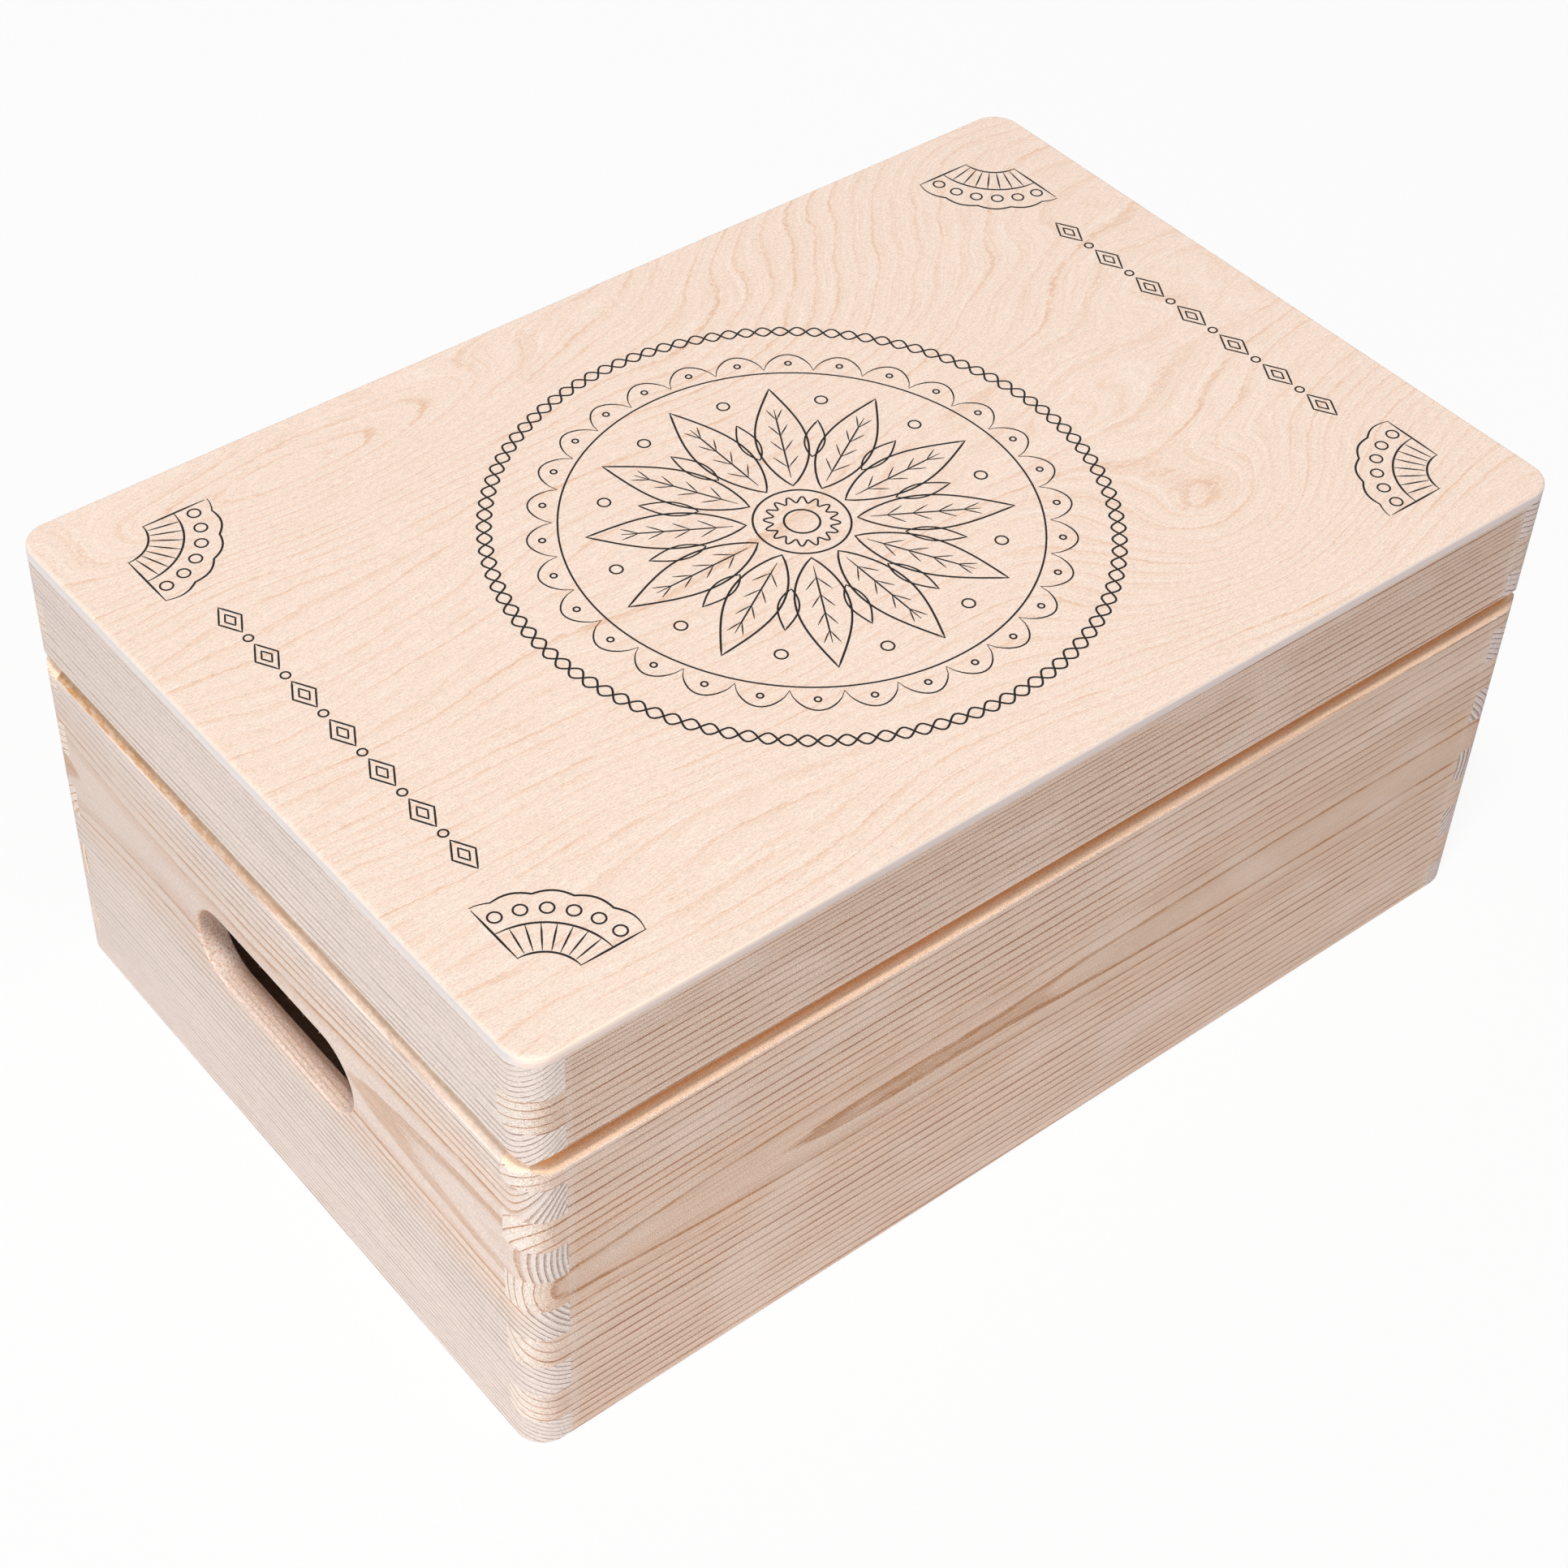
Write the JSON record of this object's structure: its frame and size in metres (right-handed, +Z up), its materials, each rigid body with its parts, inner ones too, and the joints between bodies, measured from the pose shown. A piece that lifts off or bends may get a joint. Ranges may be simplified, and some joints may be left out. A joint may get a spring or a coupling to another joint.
{
  "type": "hinged wooden box",
  "caption": "Rectangular finger-jointed pine box with a hinged plywood-topped lid, a V groove round the seam and a stadium-shaped hand hole in each end.",
  "frame": {"origin": "middle of the underside, on the surface the box stands on", "axes": "+X along the front to the right, +Y from the front to the hinged back, +Z up"},
  "size_m": [0.3, 0.198, 0.1331],
  "materials": {
    "pine": "raw, sanded",
    "plywood": "raw, sanded veneer",
    "hinge_brass": "bright plated",
    "hinge_steel": "bright drawn"
  },
  "bodies": {
    "body": {"front_board": "pine", "back_board": "pine", "left_board": "pine", "right_board": "pine", "bottom_panel": "plywood", "left_hinge_body_leaf": "hinge_brass", "left_hinge_pin": "hinge_steel", "left_hinge_body_screws": "hinge_brass", "right_hinge_body_leaf": "hinge_brass", "right_hinge_pin": "hinge_steel", "right_hinge_body_screws": "hinge_brass"},
    "lid": {"lid_front_rail": "pine", "lid_back_rail": "pine", "lid_left_rail": "pine", "lid_right_rail": "pine", "lid_panel": "plywood", "left_hinge_lid_leaf": "hinge_brass", "left_hinge_lid_screws": "hinge_brass", "right_hinge_lid_leaf": "hinge_brass", "right_hinge_lid_screws": "hinge_brass"}
  },
  "joints": [
    {"name": "lid_hinge", "type": "hinge", "parent": "body", "child": "lid", "pos_m": [0, 0.0966, 0.0986], "axis": [-1, 0, 0], "range_deg": [0, 104]}
  ]
}
